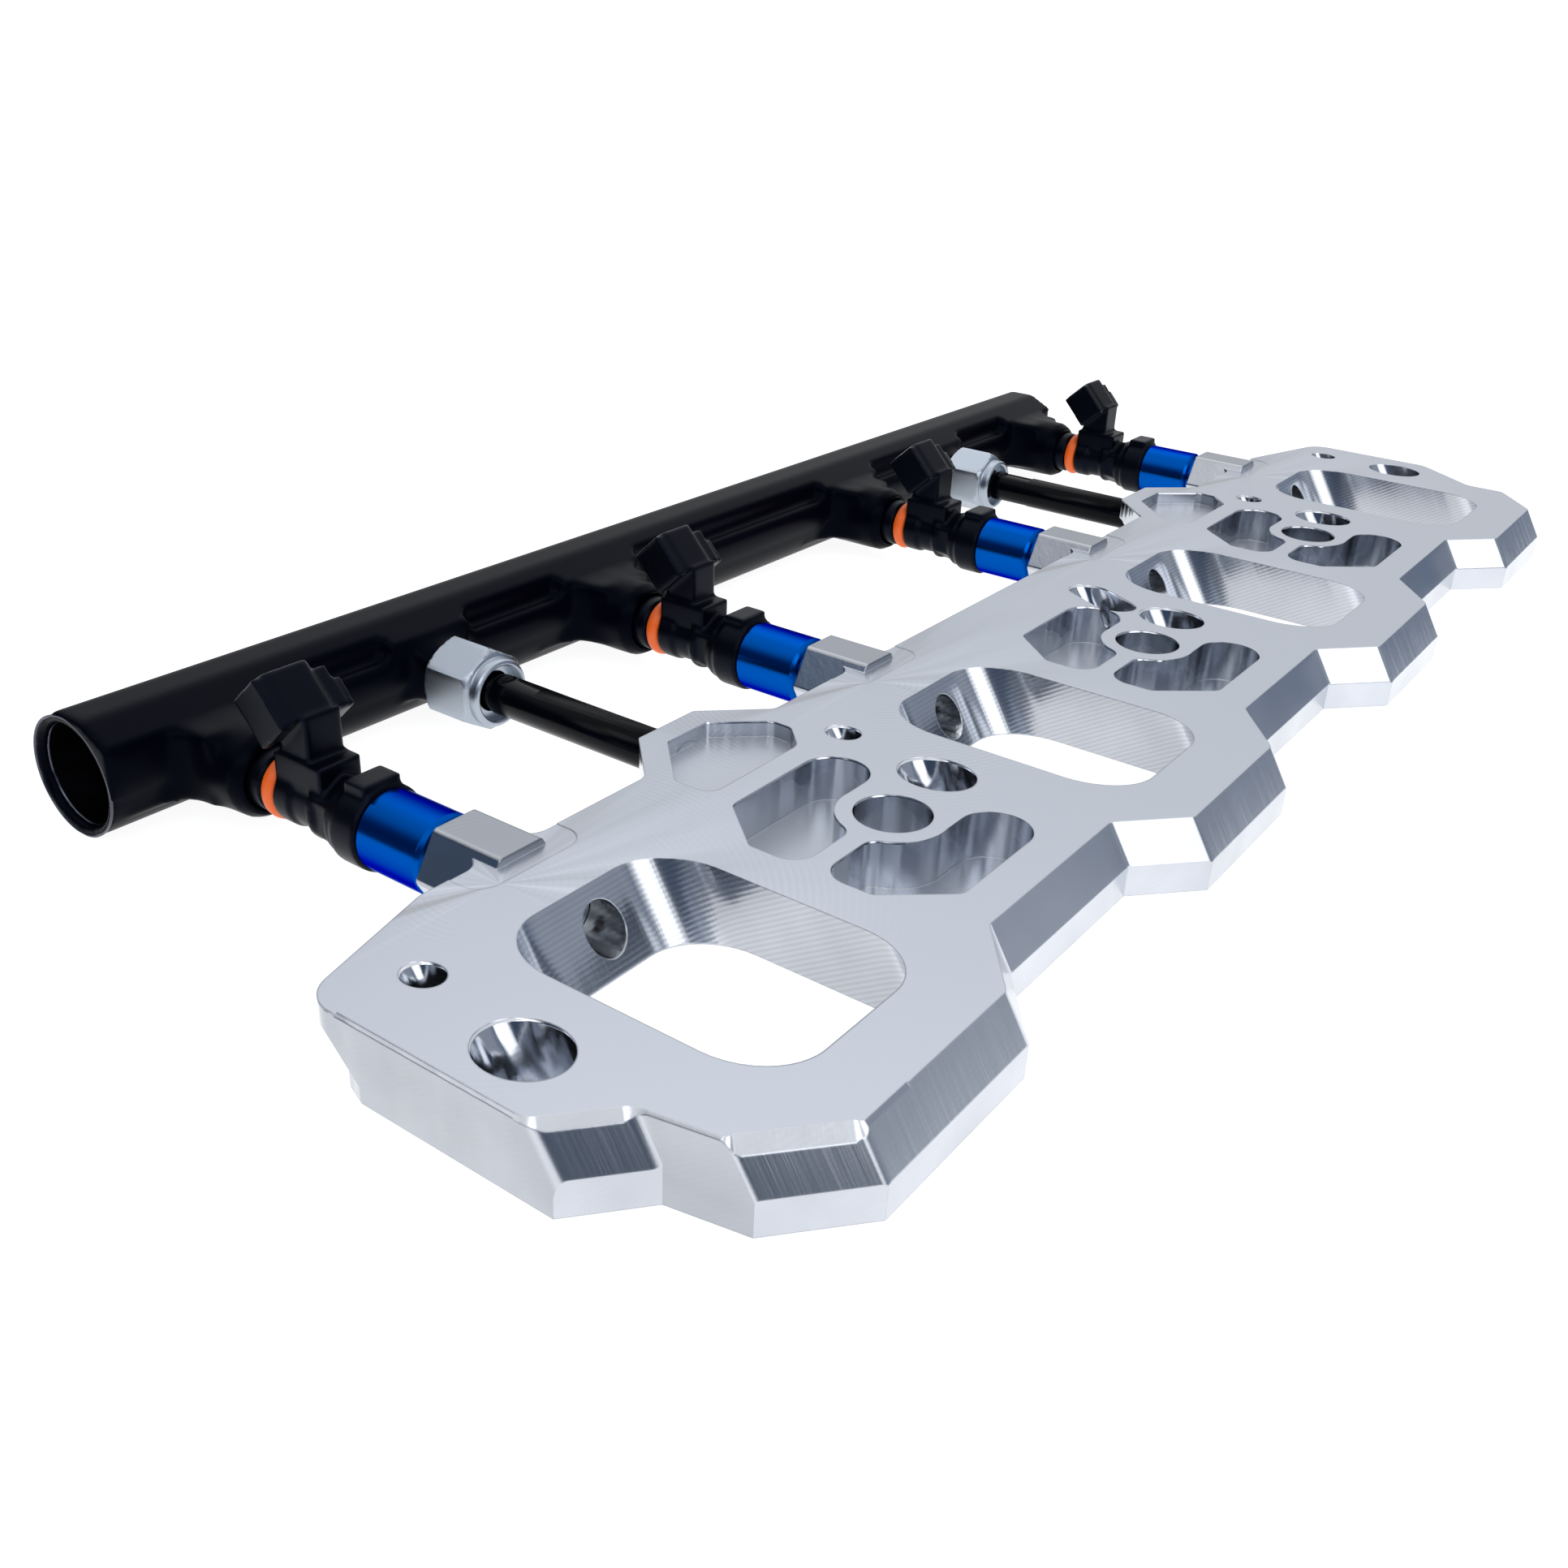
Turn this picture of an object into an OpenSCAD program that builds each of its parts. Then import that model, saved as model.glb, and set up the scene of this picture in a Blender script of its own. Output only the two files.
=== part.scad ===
/* [Plate] */
// Distance between neighbouring ports
port_pitch = 111.8; // [108:0.2:116]
// Thickness of the plate
plate_t = 14; // [12.5:0.25:16]
// Lean of the port walls, the bolt holes and the edges
lean = 31.8; // [26:0.2:34]
// Width of each port
port_w = 41.4; // [38:0.2:43]
// Height of each port, square to its lean
port_h = 47.9; // [44:0.1:49]
// Corner radius of each port
port_r = 11.5; // [8:0.5:14]
// Distance from the port row to the rail-side edge at the top face
rail_edge = 54.8; // [53:0.2:57]
// Distance from the port row to the outer edge under each port
port_edge = 32.5; // [31:0.25:35]
// Distance from the port row to the inner edge between two ports
gap_edge = 21.2; // [19:0.2:23]
// Depth of the leaning upper part of the outer wall
lean_depth = 7.7; // [5:0.1:10]
// Thickness of the lip along the rail side
lip_t = 5.1; // [4:0.1:6.4]
// Set-back of the wall below the lip
foot_set = 5.3; // [4:0.1:6]

/* [Holes and pockets] */
// Radius of the large leaning bolt holes
bolt_r = 6.85; // [5.5:0.05:7.2]
// Radius of the small leaning bolt holes
screw_r = 3.35; // [2.6:0.05:4]
// Radius of the slanting slot between the middle ports
slot_r = 4.9; // [4:0.1:5.5]
// Radius of the blind hole in each gap
blind_r = 7.45; // [6:0.05:8]
// Depth of the blind hole in each gap
blind_depth = 10; // [7:0.25:11]
// Depth of the two pockets in each gap
pocket_depth = 9.65; // [6:0.05:10.5]
// Wall between the blind hole and the pockets beside it
pocket_wall = 3.36; // [2.4:0.02:4]
// Half width of the slot at the outer end of each pocket
pocket_end_r = 6.84; // [5.5:0.02:7.4]
// Depth of the shallow pocket on each strut tab
tab_depth = 3.6; // [2:0.1:4]

/* [Injector bosses] */
// Sideways shift of each injector from its port
boss_shift = 2.5; // [0:0.25:4]
// Width across the flats of each boss
boss_af = 17; // [16:0.25:18]
// Distance from the port row to the outer end of each boss
boss_end = 67.5; // [64:0.25:72]
// Distance from the port row to the inner end of each boss
boss_root = 51.4; // [50.5:0.1:52.5]
// Depth of the shelf around each boss
shelf_depth = 0.15; // [0.1:0.05:0.5]
// Radius of the spray hole
spray_r = 4.4; // [3.5:0.05:4.8]
// Radius of the seal seat in the end of each boss
seat_r = 5.6; // [5.2:0.05:5.9]
// Length of the seal seat
seat_l = 6; // [4:0.25:8]

/* [Injectors] */
// Outer radius of the collar
collar_r = 8; // [7.4:0.1:8.8]
// Length of the collar
collar_l = 17.8; // [15:0.1:21]
// Radius of the body's wide base
base_r = 8.6; // [8:0.1:9.4]
// Length of the body's wide base
base_l = 9.7; // [8:0.1:12]
// Radius of the body's waist
waist_r = 5.9; // [5.3:0.1:6.2]
// Radius of the body's upper end
tip_r = 6.5; // [6.3:0.05:6.6]
// Outer radius of the upper seal
seal_r = 6.9; // [6.7:0.05:7.2]
// Width of the upper seal
seal_l = 3.8; // [3:0.1:4.4]
// Distance from the collar to the upper seal
seal_at = 25.4; // [25:0.1:27]
// Width of the connector socket
socket_w = 14; // [12.5:0.25:15]
// Thickness of the connector socket
socket_h = 9.6; // [8.5:0.1:10.5]
// Length of the connector socket
socket_l = 10.6; // [9:0.1:13]
// Upward slope of the connector socket
socket_slope = 47; // [40:1:55]
// Wall of the connector socket
socket_wall = 1.3; // [1:0.1:1.6]

/* [Fuel rail] */
// Distance from the port row to the rail's axis
rail_y = 146.5; // [144:0.25:150]
// Length of the rail
rail_l = 378.5; // [372:0.5:386]
// Distance from the middle of the port row to the near end of the rail
rail_start = 190.2; // [187:0.2:194]
// Outer radius of the rail
rail_r = 12.4; // [12:0.1:13.5]
// Radius of the fuel passage
passage_r = 8.5; // [7:0.1:9.5]
// Radius of the end bores
end_bore_r = 10.6; // [10:0.1:11]
// Depth of the end bores
end_bore_l = 16; // [10:0.5:20]
// Radius of each injector cup
cup_r = 9.3; // [8.8:0.1:10]
// Distance from the mouth of each cup to the rail's axis
cup_l = 29; // [27:0.25:31]

/* [Struts] */
// Sideways distance from a port to its strut
strut_shift = 59.1; // [57:0.1:61]
// Radius of the strut bars
bar_r = 4.5; // [3.8:0.1:5]
// Distance across the flats of each strut nut
nut_af = 17; // [15:0.25:19]
// Length of each strut nut
nut_l = 15.5; // [12:0.25:17]
// Distance from the strut nut to the rail's axis
nut_gap = 17.5; // [16.5:0.25:19]
// Radius of the rail's strut studs
stub_r = 7.5; // [6.5:0.1:8]

/* [Hidden] */
$fn = 48;
clear = 0.2;
nudge = 0.05;
flush = 0.25;
through = 120;
beyond = 30;
ports = [-1.5, -0.5, 0.5, 1.5];
gaps = [0, 1, 2];
strut_gaps = [0, 2];
mid_z = plate_t / 2;
drop = plate_t * tan(lean);

function port_x(k) = ports[k] * port_pitch;
function strut_x(s) = port_x(strut_gaps[s]) + strut_shift;
function injector_x(k) = port_x(k) + boss_shift;

// A closed outline of [x, y, radius] corners, each rounded by short chords
function way(a, b) = (b - a) / norm(b - a);
function at(c, i) = [c[(i + len(c)) % len(c)].x, c[(i + len(c)) % len(c)].y];
function half_angle(c, i) = acos(way(at(c, i), at(c, i - 1)) * way(at(c, i), at(c, i + 1))) / 2;
function centre(c, i) = at(c, i) + way([0, 0], way(at(c, i), at(c, i - 1)) + way(at(c, i), at(c, i + 1)))
    * c[i][2] / sin(half_angle(c, i));
function turn(c, i) = cross(at(c, i) - at(c, i - 1), at(c, i + 1) - at(c, i));
function corner(c, i, step) =
    let(m = centre(c, i), r = c[i][2], sweep = 90 - half_angle(c, i),
        middle = atan2(at(c, i).y - m.y, at(c, i).x - m.x),
        n = max(3, ceil(sweep / step)))
    [for (j = [-n : n]) m + r * [cos(middle + sign(turn(c, i)) * sweep * j / n),
                                 sin(middle + sign(turn(c, i)) * sweep * j / n)]];
function outline_points(c, step = 5.5) =
    [for (i = [0 : len(c) - 1]) each c[i][2] > 0 ? corner(c, i, step) : [at(c, i)]];
module outline(c, step = 5.5) {
    polygon(outline_points(c, step));
}

// Children drawn square to the lean, with their top face positions given at the plate's top
function leant(y) = (y - drop) * cos(lean);
function lean_all(c) = [for (p = c) [p.x, leant(p.y), p[2]]];
module leaning() {
    rotate([-lean, 0, 0]) linear_extrude(height = through, center = true) children();
}

// Children whose Z axis points along +Y, at the height of the injectors
module along_y(x, y) {
    translate([x, y, mid_z]) rotate([-90, 0, 0]) children();
}

port_chain = [[-31.8, 0, 2], [-19.4, 1, 2.5], [20.05, 1, 2.5], [34.95, 0, 2]];
function outer_chain(shift, round = 1) = [for (k = [0 : 3]) for (p = port_chain)
    if (!(k == 0 && p.x < -30)) [port_x(k) + p.x, -(p.y == 1 ? port_edge : gap_edge) - shift, p[2] * round]];
near_low = [[-46.9, 2.3, 4], [-35.7, -7.2, 4], [-33.1, -20.6, 2]];
far_low = [[34.95, -10.5, 4], [49.5, 7.5, 4]];
function near_points(shift, round = 1) = [for (p = near_low)
    [port_x(0) + p.x - (1 - round) * nudge, p.y - shift, p[2] * round]];
function far_points(shift, round = 1) = [for (p = far_low)
    [port_x(3) + p.x + (1 - round) * nudge, p.y - shift, p[2] * round]];
tab_half = 8.6;
tab_end = 66.8;
tab_foot = tab_half + tab_end - rail_edge;
function tab_points(s) = [[strut_x(s) + tab_foot, rail_edge, 3], [strut_x(s) + tab_half, tab_end, 1.5],
    [strut_x(s) - tab_half, tab_end, 1.5], [strut_x(s) - tab_foot, rail_edge, 3]];
boss_top = boss_af / 2 / cos(30) - mid_z * tan(30);
boss_sink = 0.47;
boss_foot = boss_top - boss_sink;
boss_web = 4.5;
function boss_points(k) = [[injector_x(k) + boss_foot, rail_edge, boss_web],
    [injector_x(k) + boss_foot, rail_edge + boss_web + foot_set / 2, 0],
    [injector_x(k) - boss_foot, rail_edge + boss_web + foot_set / 2, 0],
    [injector_x(k) - boss_foot, rail_edge, boss_web]];
near_x = port_x(0) - 46.9;
far_x = port_x(3) + 49.5;
near_y = 46.3;
far_y = 44.5;
rail_points = concat([[far_x + nudge, -3 * beyond, 0], [far_x + nudge, far_y, 7]],
    [[port_x(3) + 16, rail_edge, 6]], boss_points(3), tab_points(1), boss_points(2), boss_points(1),
    tab_points(0), boss_points(0), [[port_x(0) - 17.2, rail_edge, 6]],
    [[near_x - nudge, near_y, 7], [near_x - nudge, -3 * beyond, 0]]);

// The wall on the rail side: a lip above a set-back foot, with a slope between them
lip_z = plate_t - lip_t;
bevel_steps = [[5.1, 1.5], [1.3, -1.2], [-0.1, -5], [-1, -7.8]];
web_clear = 0.7;
wide = boss_foot + boss_web + web_clear;
function boss_gap(k) = [[injector_x(k) + wide, rail_edge], [injector_x(k) + wide, rail_edge + beyond],
    [injector_x(k) - wide, rail_edge + beyond], [injector_x(k) - wide, rail_edge]];
function tab_gap(s) = [[strut_x(s) + tab_foot + 1, rail_edge], [strut_x(s) + tab_half + 0.5, tab_end],
    [strut_x(s) - tab_half - 0.5, tab_end], [strut_x(s) - tab_foot - 1, rail_edge]];
lip_line = concat([[far_x + 1, -3 * beyond]],
    [for (i = [3 : -1 : 0]) [far_x - bevel_steps[i].x, far_y + bevel_steps[i].y]],
    [[port_x(3) + 16, rail_edge]], boss_gap(3), tab_gap(1), boss_gap(2), boss_gap(1), tab_gap(0), boss_gap(0),
    [[port_x(0) - 17.2, rail_edge]], [for (b = bevel_steps) [near_x + b.x, near_y + b.y]],
    [[near_x - 1, -3 * beyond]]);
module rail_side() {
    translate([flush, -foot_set, 0]) linear_extrude(height = 3 * beyond, center = true) polygon(lip_line);
    rotate([-45, 0, 0]) linear_extrude(height = through, center = true)
        polygon([for (p = lip_line) [p.x, (p.y - lip_z) * cos(45)]]);
}

// Points well outside the two ends
near_out = [port_x(0) - 70, 22];
far_out = [port_x(3) + 70, 33];
module plate_blank() {
    low = lean_depth * tan(lean);
    intersection() {
        linear_extrude(height = plate_t) outline(rail_points);
        rail_side();
        leaning() outline(lean_all(concat(near_points(0), outer_chain(0), far_points(0),
            [[far_x, 4 * beyond, 0], [near_x, 4 * beyond, 0]])));
        linear_extrude(height = 3 * beyond, center = true)
            outline(concat([[near_out.x, 3 * beyond, 0], [near_out.x, near_out.y - low, 0]],
                near_points(low, 0), outer_chain(low, 0), far_points(low, 0),
                [[far_out.x, far_out.y - low, 0], [far_out.x, 3 * beyond, 0]]));
    }
}

module port_hole(k) {
    w = port_w / 2 - port_r;
    h = port_h / 2 - port_r;
    leaning() translate([port_x(k), 0]) {
        square([2 * w, port_h], center = true);
        square([port_w, 2 * h], center = true);
        for (x = [-w, w], y = [-h, h]) translate([x, y]) circle(r = port_r);
    }
}

module leaning_hole(x, y, r) {
    rotate([-lean, 0, 0]) translate([x, leant(y), 0]) cylinder(r = r, h = through, center = true);
}

bolt_at = [-35.8, 13.4];
screw_at = [-32.2, 37.6];
far_bolt_x = 36;
far_screw_x = 37;
slot_from = [-36.6, 28.5];
slot_to = [-32.1, 37];
module bolt_holes() {
    for (k = [0 : 3]) leaning_hole(port_x(k) + bolt_at.x, bolt_at.y, bolt_r);
    for (k = [0, 1, 3]) leaning_hole(port_x(k) + screw_at.x, screw_at.y, screw_r);
    leaning_hole(port_x(3) + far_bolt_x, bolt_at.y, bolt_r);
    leaning_hole(port_x(3) + far_screw_x, screw_at.y, screw_r);
    a = [port_x(2) + slot_from.x, leant(slot_from.y)];
    b = [port_x(2) + slot_to.x, leant(slot_to.y)];
    past = way(a, b) * nudge;
    side = [way(a, b).y, -way(a, b).x] * slot_r;
    leaning() {
        translate(a) circle(r = slot_r);
        translate(b) circle(r = slot_r);
        polygon([a - past + side, b + past + side, b + past - side, a - past - side]);
    }
}

blind_x = 56.9;
blind_y = 11.2;
lobe_top = 9.1;
lobe_r = 3.6;
pocket_left = 30.3;
slot_end_x = 63.75;
slot_start_x = 40.4;
module gap_pocket() {
    ring = blind_r + pocket_wall;
    slot_y = blind_y - ring - pocket_end_r + 0.1;
    dx = sqrt(pow(ring + lobe_r, 2) - pow(blind_y - lobe_top + lobe_r, 2));
    lobe = [blind_x - dx, lobe_top - lobe_r];
    touch = [blind_x, blind_y] + way([blind_x, blind_y], lobe) * (ring - nudge);
    hang = atan2(touch.y - lobe.y, touch.x - lobe.x);
    end_r = pocket_end_r - 0.01;
    translate([0, 0, plate_t - pocket_depth]) linear_extrude(height = pocket_depth + 1)
        difference() {
            outline([[pocket_left, lobe_top, 5], [pocket_left, -1.6, 2],
                [slot_start_x, slot_y - pocket_end_r, 3],
                [slot_end_x + pocket_end_r, slot_y - pocket_end_r, end_r],
                [slot_end_x + pocket_end_r, slot_y + pocket_end_r, end_r],
                [blind_x, slot_y + pocket_end_r, 0],
                [blind_x, touch.y, 0], [touch.x, touch.y, 0],
                for (j = [1 : 7]) [lobe.x + lobe_r * cos(hang + (90 - hang) * j / 8),
                    lobe.y + lobe_r * sin(hang + (90 - hang) * j / 8), 0],
                [lobe.x, lobe_top, 0]]);
            translate([blind_x, blind_y]) circle(r = ring);
        }
}

module gap_cuts(k) {
    translate([port_x(k), 0, 0]) {
        translate([blind_x, blind_y, plate_t - blind_depth]) cylinder(r = blind_r, h = blind_depth + 1);
        gap_pocket();
        translate([0, 2 * blind_y, 0]) mirror([0, 1, 0]) gap_pocket();
    }
}

tab_pocket = [[-6, 61.5, 1.5], [-18.1, 49.6, 3], [-18.1, 41, 3.5], [9.5, 41, 4], [15.6, 47, 3],
    [15.6, 51.8, 3], [6.3, 61.5, 1.5]];
module tab_cut(s) {
    translate([strut_x(s), 0, plate_t - tab_depth]) linear_extrude(height = tab_depth + 1)
        outline(tab_pocket);
}

// Flat floor around each boss, a little below the top face
shelf_left = -13.4;
shelf_right = 12.2;
shelf_front = 47.5;
shelf_back = 80;
shelf_round = 4.5;
module shelf_cut(k) {
    translate([injector_x(k), 0, plate_t - shelf_depth]) linear_extrude(height = shelf_depth + 1)
        outline([[shelf_left, shelf_back, 0], [shelf_left, shelf_front, shelf_round],
            [shelf_right, shelf_front, shelf_round], [shelf_right, shelf_back, 0]]);
}

boss_round = 1.2;
boss_heel = 46;
module hex_boss(k) {
    r = boss_af / 2 / cos(30);
    difference() {
        along_y(injector_x(k), boss_heel) linear_extrude(height = boss_end - boss_heel)
            outline([for (a = [0 : 60 : 300]) [r * cos(a), r * sin(a), boss_round]], 10);
        translate([injector_x(k) - boss_af, boss_heel - 1, plate_t - 1])
            cube([2 * boss_af, boss_root - boss_heel + 1, boss_af]);
        translate([injector_x(k) - boss_af, boss_heel - 1, -boss_af])
            cube([2 * boss_af, boss_af * 2, boss_af]);
    }
}

bar_seat = tab_end - foot_set - nudge;
stud_r = 2.5;
stud_l = 12;
module plate() {
    color([0.80, 0.81, 0.83]) difference() {
        union() {
            difference() {
                plate_blank();
                for (k = [0 : 3]) shelf_cut(k);
            }
            for (k = [0 : 3]) hex_boss(k);
        }
        for (k = [0 : 3]) {
            port_hole(k);
            along_y(injector_x(k), 0) cylinder(r = spray_r, h = boss_end + 1);
            along_y(injector_x(k), boss_end - seat_l) cylinder(r = seat_r, h = seat_l + 1);
        }
        for (k = gaps) gap_cuts(k);
        for (s = [0, 1]) {
            tab_cut(s);
            along_y(strut_x(s), bar_seat) cylinder(r = bar_r + clear, h = beyond);
            along_y(strut_x(s), bar_seat - stud_l) cylinder(r = stud_r + clear, h = stud_l + 1);
        }
        bolt_holes();
    }
}

nozzle_r = spray_r - clear;
nozzle_start = 40;
collar_end = boss_end + collar_l;
module nozzle_tube(k) {
    color([0.72, 0.72, 0.70]) along_y(injector_x(k), nozzle_start) difference() {
        cylinder(r = nozzle_r, h = collar_end - nozzle_start);
        translate([0, 0, -1]) cylinder(r = 1.6, h = 4);
    }
}

module lower_seal(k) {
    band = seat_r - nozzle_r - 0.1;
    color([0.12, 0.12, 0.13]) along_y(injector_x(k), boss_end - 3) rotate_extrude()
        translate([nozzle_r + 0.05 + band / 2, 0]) circle(d = band, $fn = 24);
}

module injector_collar(k) {
    color([0.02, 0.13, 0.62]) along_y(injector_x(k), boss_end) difference() {
        rotate_extrude() polygon([[0, 0], [collar_r - 1.4, 0], [collar_r - 1.4, 1.4], [collar_r - 0.6, 2],
            [collar_r, 2.7], [collar_r, collar_l - 0.3], [collar_r - 0.3, collar_l], [0, collar_l]]);
        translate([0, 0, -1]) cylinder(r = nozzle_r + clear / 2, h = collar_l + 2);
    }
}

mouth_y = rail_y - cup_l;
neck_w = 8.4;
neck_start = 16;
neck_l = 8.5;
socket_y = 20;
socket_z = 15.3;
socket_floor = 2.5;
key_w = 3;
key_h = 7.2;
key_l = 8.6;
module socket_place(k) {
    translate([injector_x(k), collar_end + socket_y, mid_z + socket_z])
        rotate([socket_slope - 90, 0, 0]) children();
}

module box_outline(x0, x1, h, r) {
    outline([[x0, -h / 2, r], [x1, -h / 2, r], [x1, h / 2, r], [x0, h / 2, r]]);
}

module socket_shell() {
    half = socket_w / 2;
    difference() {
        union() {
            linear_extrude(height = socket_l) box_outline(-half, half - key_w, socket_h, 2);
            translate([half - key_w - 1, -key_h / 2, 0]) cube([key_w + 1, key_h, key_l]);
        }
        translate([0, 0, socket_floor]) linear_extrude(height = socket_l)
            box_outline(socket_wall - half, half - key_w - socket_wall, socket_h - 2 * socket_wall, 1.2);
    }
}

module injector_body(k) {
    top = rail_y - 17 - collar_end;
    groove_r = seal_r - 1.6;
    color([0.07, 0.07, 0.08]) difference() {
        union() {
            along_y(injector_x(k), collar_end) rotate_extrude()
                polygon([[0, 0], [base_r, 0], [base_r, base_l - 3.2], [base_r - 0.8, base_l - 2.6],
                    [base_r - 0.8, base_l - 0.8], [base_r - 1.6, base_l],
                    [waist_r, base_l], [waist_r, seal_at - 5], [tip_r, seal_at - 4.4], [tip_r, seal_at - 0.1],
                    [groove_r, seal_at - 0.1], [groove_r, seal_at + seal_l + 0.1],
                    [tip_r, seal_at + seal_l + 0.1], [tip_r, top - 1], [tip_r - 1, top], [0, top]]);
            difference() {
                translate([injector_x(k) - neck_w / 2, collar_end + neck_start, mid_z])
                    cube([neck_w, neck_l, socket_z + 5]);
                socket_place(k) translate([-beyond, -beyond, 0]) cube([2 * beyond, 2 * beyond, beyond]);
            }
            socket_place(k) socket_shell();
        }
        along_y(injector_x(k), collar_end + top - 9) cylinder(r = 2.4, h = 10);
    }
}

blade = [1.4, 0.7];
blade_gap = 2.2;
module terminals(k) {
    color([0.80, 0.78, 0.70]) socket_place(k)
        for (x = [-1, 1]) translate([x * blade_gap - key_w / 2 - blade.x / 2, -blade.y / 2, socket_floor])
            cube([blade.x, blade.y, socket_l - socket_floor - 2]);
}

module upper_seal(k) {
    color([0.95, 0.38, 0.10]) along_y(injector_x(k), collar_end + seal_at) rotate_extrude()
        outline([[seal_r - 1.6, 0, 0], [seal_r, 0, 0.8], [seal_r, seal_l, 0.8], [seal_r - 1.6, seal_l, 0]]);
}

// Section of the rail about its axis, with its flat top and the bevel that faces the plate
rail_top = 13.1;
bevel_foot = [-13.5, 9.3];
module rail_section() {
    circle(r = rail_r);
    polygon([[-5.5, rail_top], [2.5, rail_top], [8.2, 9.2], [0, -5], [-11.8, -3.4], [bevel_foot.x, 1],
        bevel_foot]);
}

// Arm from the rail towards the plate, with filleted roots
module arm(x, half, top, low, l, r) {
    translate([x, rail_y, mid_z - low]) linear_extrude(height = low + top)
        outline([[-half - r - 4, -4, 0], [-half - r - 4, -11.3, 0], [-half, -11.3, r], [-half, -l, 0],
            [half, -l, 0], [half, -11.3, r], [half + r + 4, -11.3, 0], [half + r + 4, -4, 0]]);
}

cup_lip = 7.7;
cup_cone = 3;
module cup(k) {
    along_y(injector_x(k), mouth_y) rotate_extrude()
        polygon([[0, 0], [cup_lip, 0], [cup_r, cup_cone], [cup_r, cup_l - 4], [0, cup_l - 4]]);
    arm(injector_x(k), cup_r - flush, cup_r - flush, 6.5, cup_l - cup_cone - 5, 8);
}

thread_r = 4.1;
thread_l = 6.5;
module stub(s) {
    along_y(strut_x(s), rail_y - nut_gap) cylinder(r = stub_r, h = nut_gap - 4);
    along_y(strut_x(s), rail_y - nut_gap - thread_l) cylinder(r = thread_r, h = nut_gap);
    arm(strut_x(s), stub_r - flush, stub_r - flush, 5, nut_gap - 2.5, 5);
}

recess_r = 3;
recess_z = 9;
recess_floor = 9.6;
module recess(a, b) {
    for (x = [a + recess_r, b - recess_r])
        translate([x, rail_y - recess_floor, mid_z + recess_z]) rotate([90, 0, 0])
            cylinder(r = recess_r, h = 12);
    translate([a + recess_r, rail_y - recess_floor - 12, mid_z + recess_z - recess_r])
        cube([b - a - 2 * recess_r, 12, 2 * recess_r]);
}

module end_bore() {
    cylinder(r = end_bore_r, h = end_bore_l);
    translate([0, 0, -1]) cylinder(r1 = end_bore_r + 1.9, r2 = end_bore_r, h = 1.9);
}

module fuel_rail() {
    color([0.10, 0.10, 0.11]) difference() {
        intersection() {
            union() {
                translate([-rail_start, rail_y, mid_z]) rotate([90, 0, 90])
                    linear_extrude(height = rail_l) rail_section();
                for (k = [0 : 3]) cup(k);
                for (s = [0, 1]) stub(s);
            }
            translate([-rail_start, rail_y - 2 * beyond, mid_z - beyond])
                cube([rail_l, 4 * beyond, 2 * beyond]);
        }
        translate([-rail_start - 1, rail_y, mid_z]) rotate([0, 90, 0])
            cylinder(r = passage_r, h = rail_l + 2);
        translate([-rail_start, rail_y, mid_z]) rotate([0, 90, 0]) end_bore();
        translate([rail_l - rail_start, rail_y, mid_z]) rotate([0, -90, 0]) end_bore();
        for (k = [0 : 3]) {
            along_y(injector_x(k), mouth_y - 1) cylinder(r = tip_r + clear, h = cup_l - 15);
            along_y(injector_x(k), mouth_y) cylinder(r = 3, h = cup_l);
        }
        for (s = [0, 1]) {
            k = strut_gaps[s];
            recess(injector_x(k) + 14, strut_x(s) - 13);
            recess(strut_x(s) + 10, injector_x(k + 1) - 14);
        }
        recess(injector_x(1) + 14, injector_x(2) - 14);
    }
}

nut_y = rail_y - nut_gap - nut_l;
bar_end = nut_y + nut_l - thread_l - 1.5;
flat_start = 40;
flat_l = 10;
flat_half = 3.7;
module strut_bar(s) {
    color([0.06, 0.06, 0.07]) difference() {
        union() {
            along_y(strut_x(s), bar_seat - stud_l + 0.4) cylinder(r = stud_r, h = stud_l);
            along_y(strut_x(s), bar_seat) cylinder(r = bar_r, h = nut_y - bar_seat);
            along_y(strut_x(s), nut_y) cylinder(r1 = bar_r, r2 = thread_r, h = 1);
            along_y(strut_x(s), nut_y) cylinder(r = thread_r, h = bar_end - nut_y);
        }
        for (side = [0, 1]) translate([strut_x(s), bar_seat + flat_start, mid_z])
            mirror([0, 0, side]) translate([-beyond, 0, flat_half]) cube([2 * beyond, flat_l, beyond]);
    }
}

module strut_nut(s) {
    corner_r = nut_af / 2 / cos(30);
    inner = nut_af / 2 - 0.2;
    color([0.72, 0.74, 0.76]) difference() {
        intersection() {
            along_y(strut_x(s), nut_y) rotate([0, 0, 30]) cylinder(r = corner_r, h = nut_l, $fn = 6);
            along_y(strut_x(s), nut_y) rotate_extrude()
                polygon([[0, 0], [inner, 0], [corner_r + 0.2, 0.9], [corner_r + 0.2, nut_l - 0.9],
                    [inner, nut_l], [0, nut_l]]);
        }
        along_y(strut_x(s), nut_y - 1) cylinder(r = thread_r + clear, h = nut_l + 2);
        along_y(strut_x(s), nut_y - 1) cylinder(r = bar_r + 1.8, h = 2.6);
    }
}

plate();
fuel_rail();
injector_body(0);  // injector_body_1
injector_body(1);  // injector_body_2
injector_body(2);  // injector_body_3
injector_body(3);  // injector_body_4
injector_collar(0);  // injector_collar_1
injector_collar(1);  // injector_collar_2
injector_collar(2);  // injector_collar_3
injector_collar(3);  // injector_collar_4
upper_seal(0);  // upper_seal_1
upper_seal(1);  // upper_seal_2
upper_seal(2);  // upper_seal_3
upper_seal(3);  // upper_seal_4
lower_seal(0);  // lower_seal_1
lower_seal(1);  // lower_seal_2
lower_seal(2);  // lower_seal_3
lower_seal(3);  // lower_seal_4
nozzle_tube(0);  // nozzle_tube_1
nozzle_tube(1);  // nozzle_tube_2
nozzle_tube(2);  // nozzle_tube_3
nozzle_tube(3);  // nozzle_tube_4
terminals(0);  // terminals_1
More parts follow.
